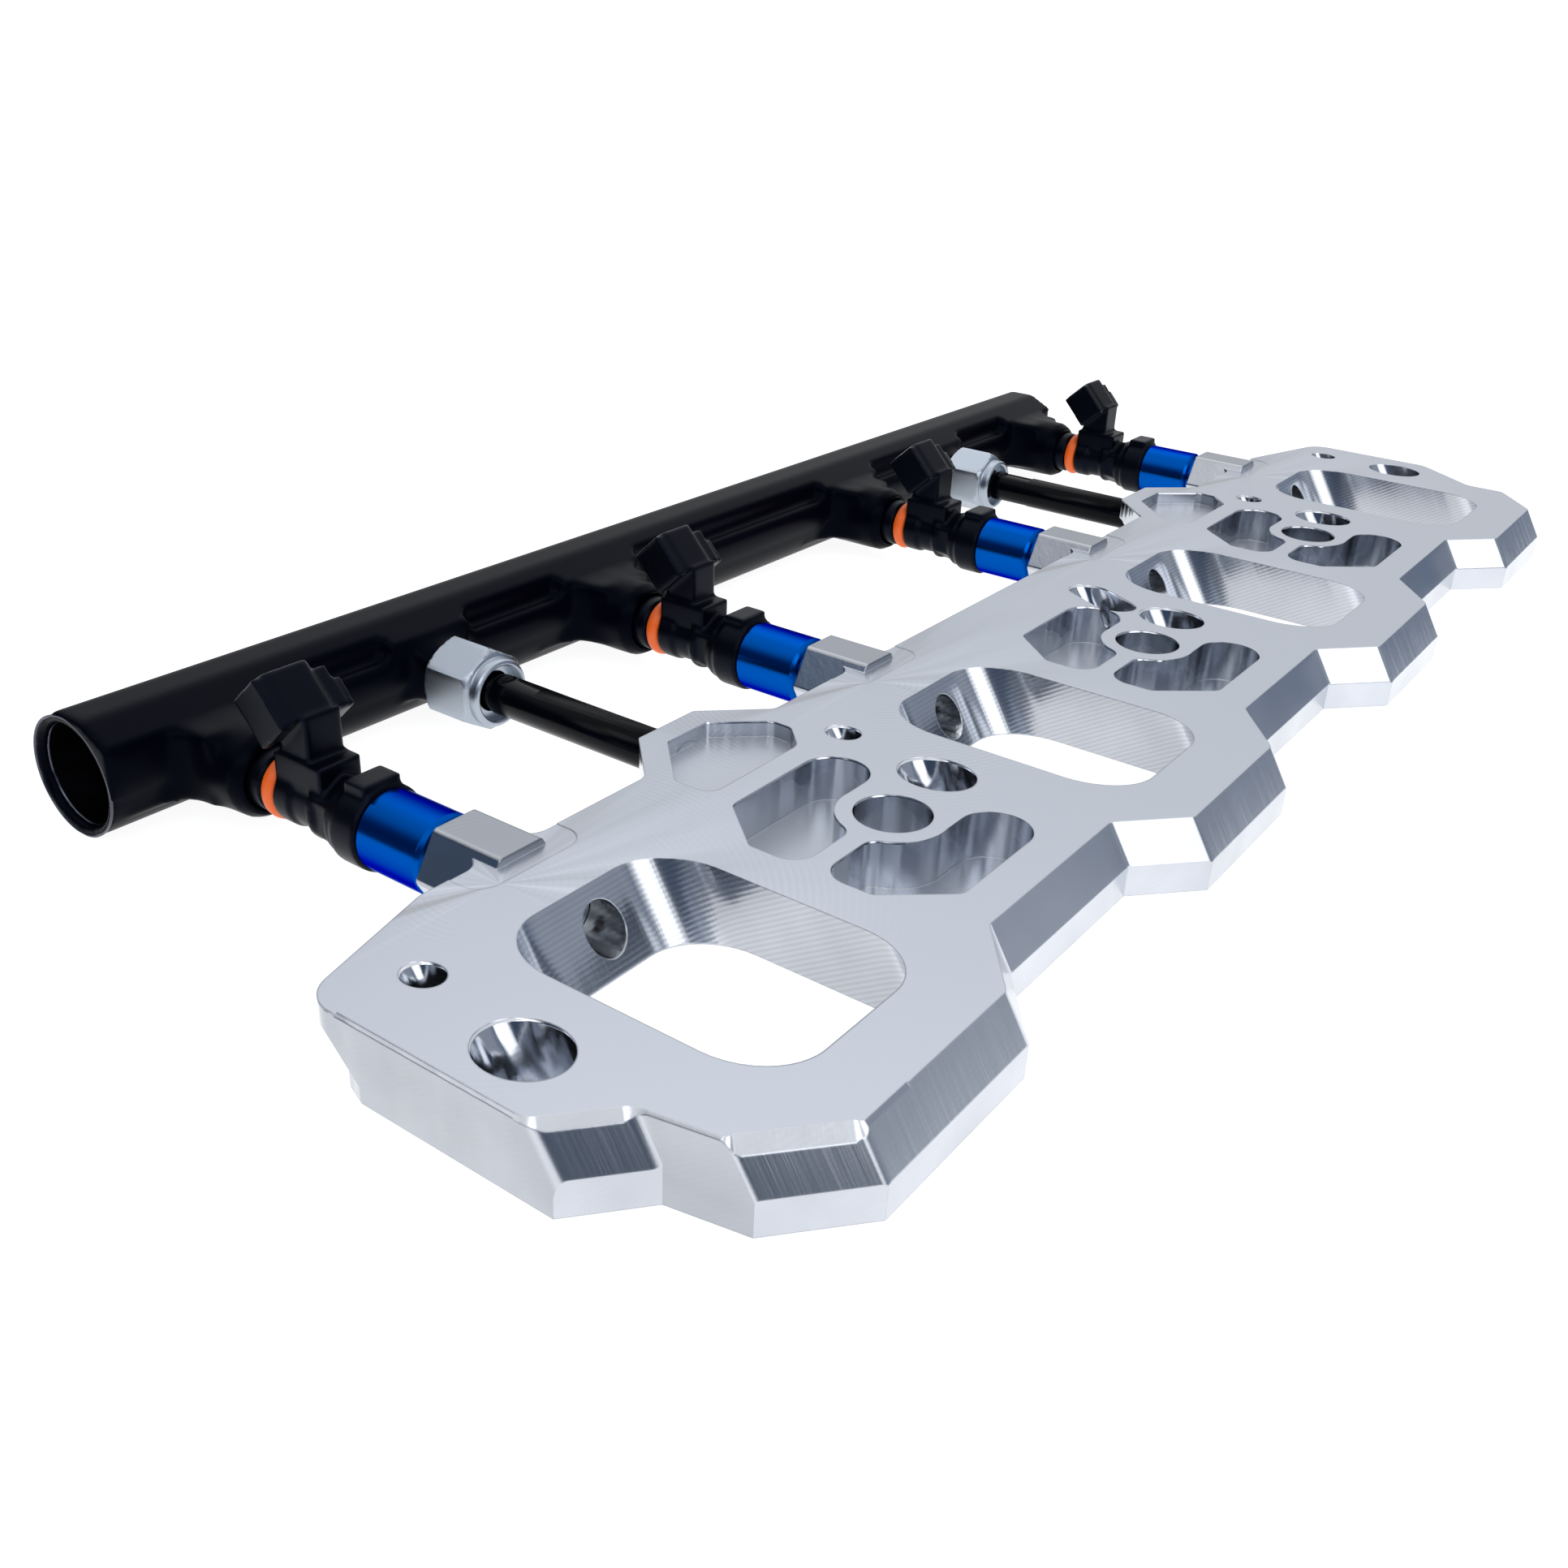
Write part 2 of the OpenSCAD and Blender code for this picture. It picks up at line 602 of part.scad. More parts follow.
terminals(1);  // terminals_2
terminals(2);  // terminals_3
terminals(3);  // terminals_4
strut_bar(0);  // strut_bar_1
strut_bar(1);  // strut_bar_2
strut_nut(0);  // strut_nut_1
strut_nut(1);  // strut_nut_2
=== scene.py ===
import math
from functools import partial

import bmesh
import bpy
from mathutils import Matrix, Quaternion, Vector


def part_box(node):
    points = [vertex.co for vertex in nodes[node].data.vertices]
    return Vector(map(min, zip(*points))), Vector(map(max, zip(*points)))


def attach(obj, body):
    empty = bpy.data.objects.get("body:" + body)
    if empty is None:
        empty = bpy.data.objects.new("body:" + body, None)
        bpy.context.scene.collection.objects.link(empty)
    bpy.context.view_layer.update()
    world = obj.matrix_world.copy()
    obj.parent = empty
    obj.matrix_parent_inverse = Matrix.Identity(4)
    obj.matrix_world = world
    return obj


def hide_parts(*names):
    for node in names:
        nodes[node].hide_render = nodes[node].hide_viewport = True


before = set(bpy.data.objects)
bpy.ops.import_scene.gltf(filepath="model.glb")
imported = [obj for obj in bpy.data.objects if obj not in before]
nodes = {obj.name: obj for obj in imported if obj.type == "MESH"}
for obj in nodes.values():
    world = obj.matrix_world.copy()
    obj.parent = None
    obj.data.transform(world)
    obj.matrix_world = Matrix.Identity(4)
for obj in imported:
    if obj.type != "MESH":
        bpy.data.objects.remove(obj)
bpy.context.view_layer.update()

mm = 0.001

# sizes that several pieces share, in mm
layout = {
    "portPitch": 111.8,
    "lean": 31.8,                        # degrees that ports, edges and bolt holes lean
    "thick": 14.0,                       # of the plate
    "axisHeight": 7.0,                   # of injectors, bars and rail over the head face
    "railY": 146.5,
}
portX = [(k - 1.5) * layout["portPitch"] for k in range(4)]
strutX = [sum(corner[0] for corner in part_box("strut_bar_%d" % k)) / 2 / mm for k in (1, 2)]

# camera: fitted to the photograph, in the plate's own frame
cameraView = {
    "place": (-325.8, -113.7, 145.7),    # mm from the middle of the port row
    "turn": (1.8863, -0.9301, 0.6228),   # world to camera, as an axis times an angle
    "lens": 35.31,
    "sensor": 36.0,
}


def setCamera():
    turn = Vector(cameraView["turn"])
    toCamera = Quaternion(turn.normalized(), turn.length).to_matrix()
    flip = Matrix(((1, 0, 0), (0, -1, 0), (0, 0, -1)))
    data = bpy.data.cameras.new("photoCamera")
    data.lens = cameraView["lens"]
    data.sensor_width = cameraView["sensor"]
    data.clip_start, data.clip_end = 0.01, 20
    camera = bpy.data.objects.new("photoCamera", data)
    place = Matrix.Translation(Vector(cameraView["place"]) * mm)
    camera.matrix_world = place @ (toCamera.transposed() @ flip).to_4x4()
    bpy.context.scene.collection.objects.link(camera)
    bpy.context.scene.camera = camera


setCamera()
print("camera set")


def linear(hexCode):
    channels = [int(hexCode[i:i + 2], 16) / 255 for i in (1, 3, 5)]
    return tuple(c / 12.92 if c <= 0.04045 else ((c + 0.055) / 1.055) ** 2.4 for c in channels) + (1.0,)


def addNode(tree, kind, values=(), **settings):
    # values: a list in the sockets' order, or a dictionary by their names or numbers,
    # of constants, other nodes' outputs, or nodes, whose first output is meant
    node = tree.nodes.new(kind)
    for name, setting in settings.items():
        setattr(node, name, setting)
    for socket, value in (values.items() if isinstance(values, dict) else enumerate(values)):
        if isinstance(value, bpy.types.Node):
            value = value.outputs[0]
        if isinstance(value, bpy.types.NodeSocket):
            tree.links.new(value, node.inputs[socket])
        else:
            node.inputs[socket].default_value = value
    return node


def newMaterial(name, hexCode, metallic, roughness, **more):
    material = bpy.data.materials.new(name)
    material.use_nodes = True
    tree = material.node_tree
    tree.nodes.clear()
    surface = {"Base Color": linear(hexCode), "Metallic": metallic, "Roughness": roughness, **more}
    shader = addNode(tree, "ShaderNodeBsdfPrincipled", surface)
    addNode(tree, "ShaderNodeOutputMaterial", [shader])
    return material, partial(addNode, tree), shader, tree.links


softly = {"interpolation_type": "SMOOTHSTEP"}      # a Map Range that eases in and out


def span(limits):
    return [limit * mm for limit in limits]


def perMetre(size):
    # a pattern's scale, from the size of its grain in mm
    return 1 / (size * mm)


milling = {
    # sizes and places in mm. Where a pair of limits has no note, what it rules starts at the
    # first and is full at the second
    "levelFrom": (0.93, 0.99),           # how far a level face's normal points up or down
    "edgeRound": 0.4,
    "bump": (0.5, 0.06),                 # strength, depth
    "topTones": ("#878A90", "#DCE3EE"),
    "topTone": 0.55,
    "wallTones": ("#A9AEB6", "#E6EAF1"),
    "wallTone": 0.62,
    "wallPatch": (26.32, 0.9),           # size and strength of the dull patches
    "wallRough": (0.18, 0.11),           # in the open, in pockets
    "topRough": (0.36, 0.34),            # top, sunk floors
    # the fan of marks by each boss: its reflection is painted into the top's colour as lighter and darker
    # bands
    "fanFrom": (-6.4, 47.6),             # from a port to where the marks spread from
    "fanReach": (75, 4),                 # as a distance from there
    "fanSide": (-1.75, -1.25),           # radians: the side that the last cut ran out over
    "fanBelow": (14.6, 14.3),            # so not on the bosses
    "fanGrain": (2.3, 200),              # marks in a radian, length of one
    "fanSheenStrength": 1.1,
    # how strongly the fan's painted reflection lightens and darkens the top
    "fanTint": ("#8E857B", 0.55),        # tint, and its share where it is full
    "fanTintAt": (-0.04, -0.3),
    # the face mill's arcs round the same place, and the swirl on the pocket floors
    "arcStep": 1.3,
    "arcReach": (75, 30),
    "arcPatch": 38.46,
    "arcShowAt": (0.44, 0.7),
    "arcDepth": 0.12,
    "arcTone": 0.06,
    "swirlStep": 0.8,
    "swirlDepth": 0.16,
    "floorsAt": (13.6, 13.2),            # heights between which the top turns into sunk floor
    # the end mill's streaks down the lean, and its level lines, which show in the ports alone
    "streak": (2.381, 2.381, 111.1),
    "streakDepth": 1.6,
    "lineStep": 0.95,
    "lineDepth": (0.01, 0.13),           # outside the ports, and in them
    # painted shade and light along the level lines: how strongly they darken and lighten the walls
    "lineShade": 0.9,
    "portHalf": (23.5, 22.5),
    "portSpan": ((-30, -26), (40, 38)),
    # pockets: walls wavy from top to bottom
    "wave": (5.263, 5.263, 250),
    "waveDepth": 15.0,
    "pocketAside": (23.5, 24.5),         # from a port's middle
    "pocketSpan": ((171, 169), (3, 5), (13.9, 13.4)),
    "pocketMetal": 0.55,                 # of their floors, which send light up from every side
    # painted shade on the walls that face to -X, such as the near ends; the flats of the bosses darker
    "endWall": (-0.85, -0.97),           # how far its normal points along the row
    "endShade": 0.76,
    "bossFlat": (14.6, 15.2),
    "bossTone": 0.68,
}


def bareAluminium():
    # 6061 plate, milled all over and left bare: bright walls with the end mill's level lines,
    # and a satin top with faint arcs and a fan of marks by each boss
    material, add, shader, links = newMaterial("milledAluminium", "#D6DBE3", 1.0, 0.30)
    place = add("ShaderNodeTexCoord").outputs["Object"]
    x, y, z = add("ShaderNodeSeparateXYZ", [place]).outputs
    normal = add("ShaderNodeNewGeometry").outputs["Normal"]
    facing = add("ShaderNodeSeparateXYZ", [normal]).outputs
    upright = add("ShaderNodeMath", [facing["Z"]], operation="ABSOLUTE")
    isFlat = add("ShaderNodeMapRange", [upright, *milling["levelFrom"]], **softly)
    sunk = add("ShaderNodeMapRange", [z, *span(milling["floorsAt"])], **softly)

    # way and distance from the fan's middle, the same by every port
    pitch = layout["portPitch"] * mm
    across = add("ShaderNodeMath", [x, pitch, 0.0], operation="WRAP")
    fromPort = add("ShaderNodeMath", [across, pitch / 2], operation="SUBTRACT")
    aside = add("ShaderNodeMath", [fromPort], operation="ABSOLUTE")
    fanX, fanY = span(milling["fanFrom"])
    dx = add("ShaderNodeMath", [fromPort, fanX], operation="SUBTRACT")
    dy = add("ShaderNodeMath", [y, fanY], operation="SUBTRACT")
    away = add("ShaderNodeCombineXYZ", [dx, dy])
    reach = add("ShaderNodeVectorMath", [away], operation="LENGTH").outputs["Value"]
    angle = add("ShaderNodeMath", [dy, dx], operation="ARCTAN2")

    # the fan: painted reflection, in bands that lighten and darken the top
    spokes, length = milling["fanGrain"]
    roundFan = add("ShaderNodeMath", [angle, spokes], operation="MULTIPLY")
    alongFan = add("ShaderNodeMath", [reach, perMetre(length)], operation="MULTIPLY")
    fanAt = add("ShaderNodeCombineXYZ", [roundFan, alongFan])
    fan = add("ShaderNodeTexNoise", {"Vector": fanAt, "Scale": 1.0, "Detail": 3.0, "Roughness": 0.55})
    fanSheen = add("ShaderNodeMath", [fan, 0.5], operation="SUBTRACT")
    fanFade = add("ShaderNodeMapRange", [reach, *span(milling["fanReach"])], **softly)
    fanSide = add("ShaderNodeMapRange", [angle, *milling["fanSide"]], **softly)
    offBoss = add("ShaderNodeMapRange", [z, *span(milling["fanBelow"])], **softly)
    for mask in (fanFade, fanSide, offBoss, milling["fanSheenStrength"]):
        fanSheen = add("ShaderNodeMath", [fanSheen, mask], operation="MULTIPLY")

    # the arcs show here and there, and close to the boss
    steps = [milling[step] for step in ("arcStep", "swirlStep", "lineStep")]
    arcTurn, swirlTurn, lineTurn = [2 * math.pi * perMetre(step) for step in steps]
    arcs = add("ShaderNodeMath", [reach, arcTurn], operation="MULTIPLY")
    arcs = add("ShaderNodeMath", [arcs], operation="SINE")
    grain = perMetre(milling["arcPatch"])
    wander = add("ShaderNodeTexNoise", {"Vector": place, "Scale": grain, "Detail": 2.0})
    patchy = add("ShaderNodeMapRange", [wander, *milling["arcShowAt"]], **softly)
    arcFade = add("ShaderNodeMapRange", [reach, *span(milling["arcReach"])], **softly)
    for mask in (patchy, arcFade):
        arcs = add("ShaderNodeMath", [arcs, mask], operation="MULTIPLY")
    swirl = add("ShaderNodeMath", [reach, swirlTurn], operation="MULTIPLY")
    swirl = add("ShaderNodeMath", [swirl], operation="SINE")
    for mask in (sunk, milling["swirlDepth"]):
        swirl = add("ShaderNodeMath", [swirl, mask], operation="MULTIPLY")
    topHeight = add("ShaderNodeMath", [arcs, milling["arcDepth"], swirl], operation="MULTIPLY_ADD")

    # streaks down the lean, on every wall
    turn = (math.radians(layout["lean"]), 0.0, 0.0)
    leaning = add("ShaderNodeMapping", {"Vector": place, "Rotation": turn})
    grain = [perMetre(size) for size in milling["streak"]]
    streakAt = add("ShaderNodeVectorMath", [leaning, grain], operation="MULTIPLY")
    streaks = add("ShaderNodeTexNoise", {"Vector": streakAt, "Scale": 1.0, "Detail": 5.0, "Roughness": 0.6})

    # level lines down the walls of the ports
    down = add("ShaderNodeSeparateXYZ", [leaning]).outputs["Z"]
    lines = add("ShaderNodeMath", [down, lineTurn], operation="MULTIPLY")
    lines = add("ShaderNodeMath", [lines], operation="SINE")
    inPort = add("ShaderNodeMapRange", [aside, *span(milling["portHalf"])], **softly)
    for limits in milling["portSpan"]:
        within = add("ShaderNodeMapRange", [y, *span(limits)], **softly)
        inPort = add("ShaderNodeMath", [inPort, within], operation="MULTIPLY")
    lineDepth = add("ShaderNodeMapRange", [inPort, 0.0, 1.0, *milling["lineDepth"]], **softly)
    lines = add("ShaderNodeMath", [lines, lineDepth], operation="MULTIPLY")

    # waves in the pockets' walls
    inPocket = add("ShaderNodeMapRange", [aside, *span(milling["pocketAside"])], **softly)
    for axis, limits in zip((x, y, z), milling["pocketSpan"]):
        within = add("ShaderNodeMapRange", [axis, *span(limits)], **softly)
        inPocket = add("ShaderNodeMath", [inPocket, within], operation="MULTIPLY")
    grain = [perMetre(size) for size in milling["wave"]]
    waveAt = add("ShaderNodeVectorMath", [place, grain], operation="MULTIPLY")
    waves = add("ShaderNodeTexNoise", {"Vector": waveAt, "Scale": 1.0, "Detail": 1.0})
    waves = add("ShaderNodeMath", [waves, inPocket], operation="MULTIPLY")
    wavy = add("ShaderNodeMath", [waves, milling["waveDepth"], lines], operation="MULTIPLY_ADD")
    wallHeight = add("ShaderNodeMath", [streaks, milling["streakDepth"], wavy], operation="MULTIPLY_ADD")

    height = add("ShaderNodeMix", {0: isFlat, 2: wallHeight, 3: topHeight})
    edge = add("ShaderNodeBevel", [milling["edgeRound"] * mm], samples=4)
    strength, depth = milling["bump"]
    relief = {"Height": height, "Normal": edge, "Strength": strength, "Distance": depth * mm}
    bump = add("ShaderNodeBump", relief)

    # the top is greyer in the arcs. Painted reflection makes it lighter and darker in the fan's bands, and
    # faintly brown where the fan's marks send the light elsewhere
    topTone = add("ShaderNodeMath", [fanSheen, milling["topTone"]], operation="ADD")
    topTone = add("ShaderNodeMath", [arcs, milling["arcTone"], topTone], operation="MULTIPLY_ADD")
    low, high = [linear(tone) for tone in milling["topTones"]]
    top = add("ShaderNodeMix", {0: topTone, 6: low, 7: high}, data_type="RGBA").outputs[2]
    brown, share = milling["fanTint"]
    warm = add("ShaderNodeMapRange", [fanSheen, *milling["fanTintAt"], 0.0, share], **softly)
    top = add("ShaderNodeMix", {0: warm, 6: top, 7: linear(brown)}, data_type="RGBA").outputs[2]

    # the walls have dull patches. Painted shade makes them a little darker in the cutter's grooves, and
    # painted light makes them lighter on the ridges between
    size, strength = milling["wallPatch"]
    patches = add("ShaderNodeTexNoise", {"Vector": place, "Scale": perMetre(size), "Detail": 3.0})
    even = milling["wallTone"] - strength / 2
    wallTone = add("ShaderNodeMath", [patches, strength, even], operation="MULTIPLY_ADD")
    wallTone = add("ShaderNodeMath", [lines, milling["lineShade"], wallTone], operation="MULTIPLY_ADD")
    low, high = [linear(tone) for tone in milling["wallTones"]]
    wall = add("ShaderNodeMix", {0: wallTone, 6: low, 7: high}, data_type="RGBA").outputs[2]

    # painted shade: walls that face to -X are darker, and the bosses' flats are darker too
    endWall = add("ShaderNodeMapRange", [facing["X"], *milling["endWall"], 1.0, milling["endShade"]], **softly)
    bossFlat = add("ShaderNodeMapRange", [z, *span(milling["bossFlat"]), 1.0, milling["bossTone"]], **softly)
    endShadeAndBossDark = add("ShaderNodeMath", [endWall, bossFlat], operation="MULTIPLY")
    bright = add("ShaderNodeMix", {0: isFlat, 6: wall, 7: top}, data_type="RGBA").outputs[2]
    colour = add("ShaderNodeMix", {0: endShadeAndBossDark, 6: linear("#000000"), 7: bright}, data_type="RGBA").outputs[2]

    wallRough = add("ShaderNodeMapRange", [inPocket, 0.0, 1.0, *milling["wallRough"]], **softly)
    topRough = add("ShaderNodeMapRange", [sunk, 0.0, 1.0, *milling["topRough"]], **softly)
    rough = add("ShaderNodeMix", {0: isFlat, 2: wallRough, 3: topRough})
    pocketFloor = add("ShaderNodeMath", [inPocket, isFlat], operation="MULTIPLY")
    metal = add("ShaderNodeMapRange", [pocketFloor, 0.0, 1.0, 1.0, milling["pocketMetal"]], **softly)

    links.new(colour, shader.inputs["Base Color"])
    links.new(metal.outputs[0], shader.inputs["Metallic"])
    links.new(rough.outputs[0], shader.inputs["Roughness"])
    links.new(bump.outputs[0], shader.inputs["Normal"])
    return material


grains = {
    # size, detail, strength of the bump, its depth, rounding of the edges: sizes in mm
    "blasted": (0.4, 3.0, 0.2, 0.04, 0.4),
    "moulded": (0.8333, 2.0, 0.2, 0.06, 0.4),
    "rubbery": (1.1111, 2.0, 0.15, 0.05, 0),
}
turning = {
    "edgeRound": 0.25,
    "bump": (0.2, 0.04),                 # strength, depth
}
blueGloss = linear("#B4C4F0")            # the cast in the gloss of the black parts


def fineGrain(name, hexCode, roughness, kind, **more):
    # not bare metal: a fine, even grain, with the light soft on the edges where they are rounded
    size, detail, strength, depth, edgeRound = grains[kind]
    material, add, shader, links = newMaterial(name, hexCode, 0.0, roughness, **more)
    place = add("ShaderNodeTexCoord").outputs["Object"]
    pits = add("ShaderNodeTexNoise", {"Vector": place, "Scale": perMetre(size), "Detail": detail})
    bump = add("ShaderNodeBump", {"Height": pits, "Strength": strength, "Distance": depth * mm})
    if edgeRound:
        edge = add("ShaderNodeBevel", [edgeRound * mm], samples=4)
        links.new(edge.outputs[0], bump.inputs["Normal"])
    links.new(bump.outputs[0], shader.inputs["Normal"])
    return material


def turnedMetal(name, hexCode, roughness, pitch, metallic=1.0, gloss=0.5, tint="#FFFFFF"):
    # turned on a lathe: fine rings square to the part's own axis, along Y, that draw the highlights
    # out; they are drawn a little further apart than a real tool leaves them, or they wouldn't show
    surface = {"Specular IOR Level": gloss, "Specular Tint": linear(tint)}
    material, add, shader, links = newMaterial(name, hexCode, metallic, roughness, **surface)
    place = add("ShaderNodeTexCoord").outputs["Object"]
    along = add("ShaderNodeVectorMath", [place, (0.0, perMetre(pitch), 0.0)], operation="MULTIPLY")
    rings = add("ShaderNodeTexNoise", {"Vector": along, "Scale": 1.0, "Detail": 2.0})
    edge = add("ShaderNodeBevel", [turning["edgeRound"] * mm], samples=4)
    strength, depth = turning["bump"]
    relief = {"Height": rings, "Normal": edge, "Strength": strength, "Distance": depth * mm}
    bump = add("ShaderNodeBump", relief)
    links.new(bump.outputs[0], shader.inputs["Normal"])
    return material


# hard anodised over a fine blast: satin, nearly black. The grit is drawn at 0.4 mm, or it wouldn't show
blackSatin = {"Specular IOR Level": 0.045, "Specular Tint": blueGloss}
# glass-filled nylon, moulded: dark and softly glossy
nylonGloss = {"Specular IOR Level": 0.13, "Specular Tint": blueGloss}

finishes = {
    "plate": bareAluminium(),
    "fuel_rail": fineGrain("blackAnodisedAluminium", "#02030A", 0.34, "blasted", **blackSatin),
    # a turned bore under a thin anodised film: greyer and shinier than the outside
    "rail_bore": turnedMetal("anodisedBore", "#50535E", 0.24, 0.4),
    "injector_body": fineGrain("mouldedNylon", "#03040B", 0.33, "moulded", **nylonGloss),
    # clear blue over turned aluminium: the metal's glints take its colour
    "injector_collar": turnedMetal("blueAnodisedAluminium", "#0050AC", 0.2, 0.2, tint="#3C6CD0"),
    # moulded rubber rings: smooth, with a soft sheen
    "upper_seal": fineGrain("orangeFluorosilicone", "#F06414", 0.42, "rubbery"),
    "lower_seal": fineGrain("blackNitrile", "#101012", 0.42, "rubbery"),
    # plain turned steel is grey, and tinned brass a warm silver
    "nozzle_tube": turnedMetal("turnedSteel", "#B4B4B2", 0.3, 0.2),
    "terminals": turnedMetal("tinnedBrass", "#CFC8B0", 0.3, 0.5),
    # blackened steel is nearly black, with a thin gloss, and zinc plate is a soft bluish silver
    "strut_bar": turnedMetal("blackenedSteel", "#030409", 0.18, 0.3, 0.0, 0.08),
    "strut_nut": turnedMetal("zincPlatedSteel", "#AEB7C2", 0.32, 0.3),
}


def dressNodes():
    for name, piece in nodes.items():
        family = name if name in finishes else name.rsplit("_", 1)[0]
        piece.data.materials.clear()
        piece.data.materials.append(finishes[family])


dressNodes()
print("finishes set")


def placePiece(piece, material, replaced=()):
    # the piece has a node's slot, and takes the place of the nodes in replaced
    piece.data.materials.clear()
    piece.data.materials.append(material)
    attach(piece, "root")
    if replaced:
        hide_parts(*replaced)


def newPiece(name, shape):
    mesh = bpy.data.meshes.new(name)
    shape.to_mesh(mesh)
    shape.free()
    piece = bpy.data.objects.new(name, mesh)
    bpy.context.scene.collection.objects.link(piece)
    return piece


def mergedCopy(node):
    # a CAD node's mesh is loose triangles: a copy of it with its corners joined
    shape = bmesh.new()
    shape.from_mesh(nodes[node].data)
    bmesh.ops.remove_doubles(shape, verts=shape.verts, dist=0.002 * mm)
    return shape


def bake(piece):
    # modifiers into the mesh
    bpy.context.view_layer.update()
    ready = piece.evaluated_get(bpy.context.evaluated_depsgraph_get())
    piece.data = bpy.data.meshes.new_from_object(ready)
    piece.modifiers.clear()


def addBox(shape, low, high):
    centre = (Vector(low) + Vector(high)) / 2 * mm
    size = (Vector(high) - Vector(low)) * mm
    place = Matrix.Translation(centre) @ Matrix.Diagonal((*size, 1.0))
    bmesh.ops.create_cube(shape, size=1.0, matrix=place)


def addBarrel(shape, centre, radius1, radius2, length, sides=48):
    # a barrel along Y whose near end is at centre
    turn = Matrix.Rotation(math.radians(-90), 4, "X")
    place = Matrix.Translation((Vector(centre) + Vector((0, length / 2, 0))) * mm) @ turn
    sizes = {"radius1": radius1 * mm, "radius2": radius2 * mm, "depth": length * mm}
    bmesh.ops.create_cone(shape, cap_ends=True, segments=sides, matrix=place, **sizes)


def blended(name, shape, voxel):
    # closed forms that overlap become one skin
    piece = newPiece(name, shape)
    skin = piece.modifiers.new("skin", "REMESH")
    skin.mode, skin.voxel_size, skin.use_smooth_shade = "VOXEL", voxel * mm, True
    bake(piece)
    return piece


def relax(piece, rounds, inside=lambda spot: True):
    # rounds off the corners where inside says so
    shape = bmesh.new()
    shape.from_mesh(piece.data)
    chosen = [v for v in shape.verts if inside(v.co)]
    ways = {"use_axis_x": True, "use_axis_y": True, "use_axis_z": True}
    for i in range(rounds):
        bmesh.ops.smooth_vert(shape, verts=chosen, factor=0.5, **ways)
    for face in shape.faces:
        face.smooth = True
    shape.to_mesh(piece.data)
    shape.free()


def turned(name, outline, spot, flats=0.0, count=96):
    # rings of points along an outline of (along, radius, cut by the hexagon's flats or not);
    # spot turns along, across and up into a place
    shape = bmesh.new()
    rings = []
    for along, radius, hexed in outline:
        ring = []
        for j in range(count):
            angle = 2 * math.pi * j / count
            fromFlat = angle % (math.pi / 3) - math.pi / 6     # a corner faces up
            reach = min(radius, flats / 2 / math.cos(fromFlat)) if hexed else radius
            place = Vector(spot(along, reach * math.sin(angle), reach * math.cos(angle)))
            ring.append(shape.verts.new(place * mm))
        rings.append(ring)
    for a, b in zip(rings, rings[1:] + rings[:1]):
        for j in range(count):
            shape.faces.new((a[j], a[(j + 1) % count], b[(j + 1) % count], b[j]))
    bmesh.ops.recalc_face_normals(shape, faces=shape.faces)
    for face in shape.faces:
        face.smooth = True
    piece = newPiece(name, shape)
    piece.data.set_sharp_from_angle(angle=math.radians(25))
    return piece


plate = {
    "sharpFrom": 18,                     # degrees between faces that stay a crisp edge
    "wideFrom": 4.5,                     # mean width of a face that counts as a flat
    "planeWithin": 0.2,                  # degrees
    # top edge of the near end: x from the first port, y, corner radius,
    # and the width of the chamfer up to the next corner
    "nearEdge": [
        (-46.9, 40.0, 0, 0.6),
        (-46.9, 2.3, 4, 0.85),
        (-35.7, -7.2, 4, 0.4),
        (-33.1, -20.6, 2, 1.15),
        (-19.4, -32.5, 2.5, 0.3),
        (-8.0, -32.5, 0, 0.3),
    ],
    "cornerSteps": 8,
    "cutterRise": 1.0,                   # the chamfer cutter over the top face
    "cutterReach": 2.6,                  # and outside the edge
    "tabPatch": ((-3.4, 61.502, 9.6), (3.4, 61.6, 11.9)),      # x from the strut
}


def edgePath():
    # the corners are round in the slanting view down the lean, as the cutter made them
    lean = math.radians(layout["lean"])
    drop = layout["thick"] * math.tan(lean)
    edge = plate["nearEdge"]
    flat = [Vector((portX[0] + x, (y - drop) * math.cos(lean))) for x, y, radius, width in edge]
    path = []
    for i, corner in enumerate(flat):
        radius, width = edge[i][2:]
        if radius == 0:
            path.append((corner, width))
            continue
        before = (flat[i - 1] - corner).normalized()
        after = (flat[i + 1] - corner).normalized()
        half = before.angle(after) / 2
        centre = corner + (before + after).normalized() * radius / math.sin(half)
        start = corner + before * radius / math.tan(half) - centre
        end = corner + after * radius / math.tan(half) - centre
        for j in range(plate["cornerSteps"] + 1):
            t = j / plate["cornerSteps"]
            spoke = (start * (1 - t) + end * t).normalized() * radius
            path.append((centre + spoke, edge[i - 1][3] * (1 - t) + width * t))
    return [(Vector((p.x, p.y / math.cos(lean) + drop)), width) for p, width in path]


def chamferCutter():
    # a three-sided bar along the near end's top edge
    path = edgePath()
    rise, reach = plate["cutterRise"], plate["cutterReach"]
    shape = bmesh.new()
    rings = []
    for i, (point, width) in enumerate(path):
        ahead = path[min(i + 1, len(path) - 1)][0] - path[max(i - 1, 0)][0]
        out = Vector((ahead.y, -ahead.x)).normalized()
        if out.x + out.y * 0.2 > 0:      # outwards is to -X, or to -Y where the edge runs along X
            out = -out
        ring = []
        for across, up in ((-width - rise, rise), (reach, -width - reach), (reach, rise)):
            spot = point + out * across
            ring.append(shape.verts.new((spot.x * mm, spot.y * mm, (layout["thick"] + up) * mm)))
        rings.append(ring)
    for a, b in zip(rings, rings[1:]):
        for j in range(3):
            k = (j + 1) % 3
            shape.faces.new((a[j], a[k], b[k], b[j]))
    shape.faces.new(rings[0][::-1])
    shape.faces.new(rings[-1])
    bmesh.ops.recalc_face_normals(shape, faces=shape.faces)
    return newPiece("chamferCutter", shape)


